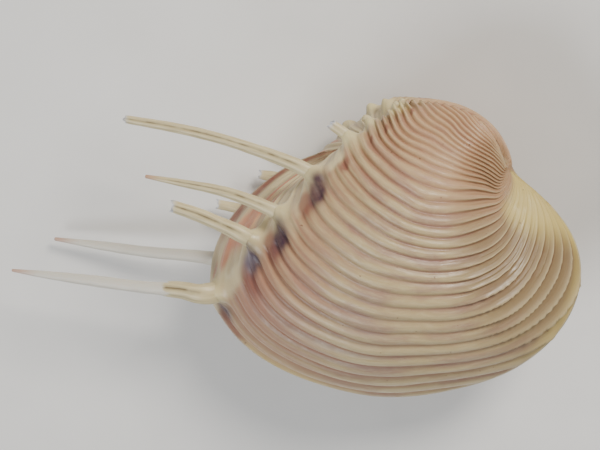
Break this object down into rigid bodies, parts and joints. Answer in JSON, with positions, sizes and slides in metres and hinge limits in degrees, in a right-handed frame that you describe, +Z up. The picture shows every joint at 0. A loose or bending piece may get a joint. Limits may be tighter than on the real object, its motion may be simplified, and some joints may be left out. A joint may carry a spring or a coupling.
{
  "type": "spiny venus clam shell",
  "caption": "Closed pair of ridged, cream and pink clam valves with long curved spines along the rear ridge, some whole and some broken short, lying on one valve.",
  "frame": {"origin": "middle of the small worn flat under the left valve, on which the shell lies", "axes": "+X towards the front end, away from the spines, +Y towards the hinge edge, +Z up, out of the right valve"},
  "size_m": [0.0824, 0.0539, 0.0315],
  "materials": {
    "right_shell": "satin",
    "left_shell": "satin",
    "ligament": "matte"
  },
  "bodies": {
    "root": {"right_valve": "right_shell", "left_valve": "left_shell", "ligament": "ligament"}
  },
  "joints": []
}
